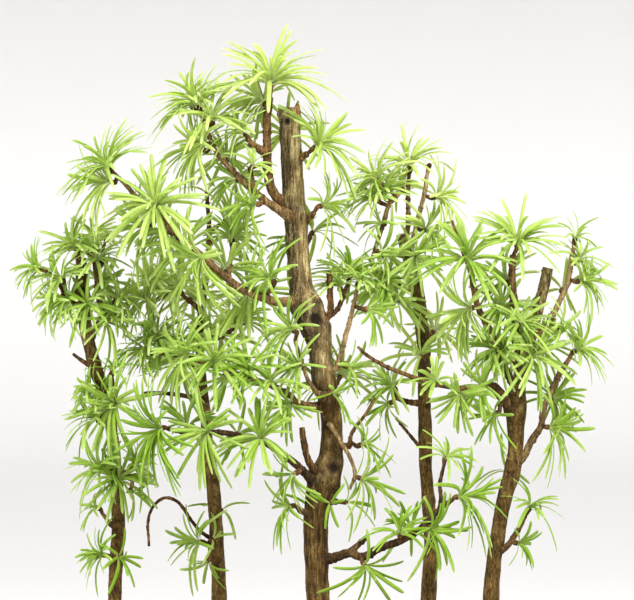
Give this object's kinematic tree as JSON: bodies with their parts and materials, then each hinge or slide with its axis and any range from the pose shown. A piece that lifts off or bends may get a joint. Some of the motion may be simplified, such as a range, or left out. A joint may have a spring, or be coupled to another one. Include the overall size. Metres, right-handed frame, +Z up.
{
  "type": "golden larch forest bonsai",
  "caption": "Forest bonsai of slender larch trunks with spur-borne sprays of soft flat needles, planted in a shallow unglazed footed tray filled with soil.",
  "frame": {"origin": "on the surface that the tray's feet stand on, below the middle of the tray", "axes": "+Z up, +X along the tray to the right as seen from the front, +Y towards the back"},
  "size_m": [0.408, 0.226, 0.4812],
  "materials": {
    "tray_clay": "matte",
    "soil": "matte",
    "main_bark": "matte",
    "bark": "matte",
    "leafy_shoot": "satin",
    "screen": "matte",
    "wire": "satin"
  },
  "bodies": {
    "root": {"drain_screen_left": "screen", "drain_screen_right": "screen", "far_left_base_whorl": "leafy_shoot", "far_left_crown_spray": "leafy_shoot", "far_left_fork": "leafy_shoot", "far_left_low_twig": "leafy_shoot", "far_left_low_whorl": "leafy_shoot", "far_left_middle_whorl": "leafy_shoot", "far_left_upper_branch": "leafy_shoot", "far_right_back_branch": "leafy_shoot", "far_right_back_low_spur": "leafy_shoot", "far_right_front_spur": "leafy_shoot", "far_right_left_branch": "leafy_shoot", "far_right_long_branch": "leafy_shoot", "far_right_low_branch": "leafy_shoot", "far_right_pink_twig": "leafy_shoot", "far_right_right_branch": "leafy_shoot", "far_right_upright": "leafy_shoot", "left_back_spray": "leafy_shoot", "left_crown_twig": "leafy_shoot", "left_low_whorl": "leafy_shoot", "left_middle_branch": "leafy_shoot", "left_middle_right_twig": "leafy_shoot", "left_upper_twig": "leafy_shoot", "main_back_low_spur": "leafy_shoot", "main_back_middle_branch": "leafy_shoot", "main_back_top_spur": "leafy_shoot", "main_back_upper_branch": "leafy_shoot", "main_front_twig": "leafy_shoot", "main_left_branch": "leafy_shoot", "main_looped_twig": "leafy_shoot", "main_low_front_spur": "leafy_shoot", "main_low_left_branch": "leafy_shoot", "main_low_right_branch": "leafy_shoot", "main_lowest_left_spur": "leafy_shoot", "main_middle_left_branch": "leafy_shoot", "main_right_knee_spur": "leafy_shoot", "main_right_twig": "leafy_shoot", "main_top_branch": "leafy_shoot", "main_top_right_spur": "leafy_shoot", "main_upper_left_branch": "leafy_shoot", "main_upper_right_spur": "leafy_shoot", "main_upper_right_twig": "leafy_shoot", "right_back_spur": "leafy_shoot", "right_crown_spray": "leafy_shoot", "right_left_spur": "leafy_shoot", "right_left_twig": "leafy_shoot", "right_middle_spur": "leafy_shoot", "right_tan_twig": "leafy_shoot", "right_upper_spur": "leafy_shoot", "screen_clip_left": "wire", "screen_clip_right": "wire", "soil": "soil", "tray": "tray_clay", "trunk_far_left": "bark", "trunk_far_right": "bark", "trunk_left": "bark", "trunk_main": "main_bark", "trunk_right": "bark"}
  },
  "joints": []
}
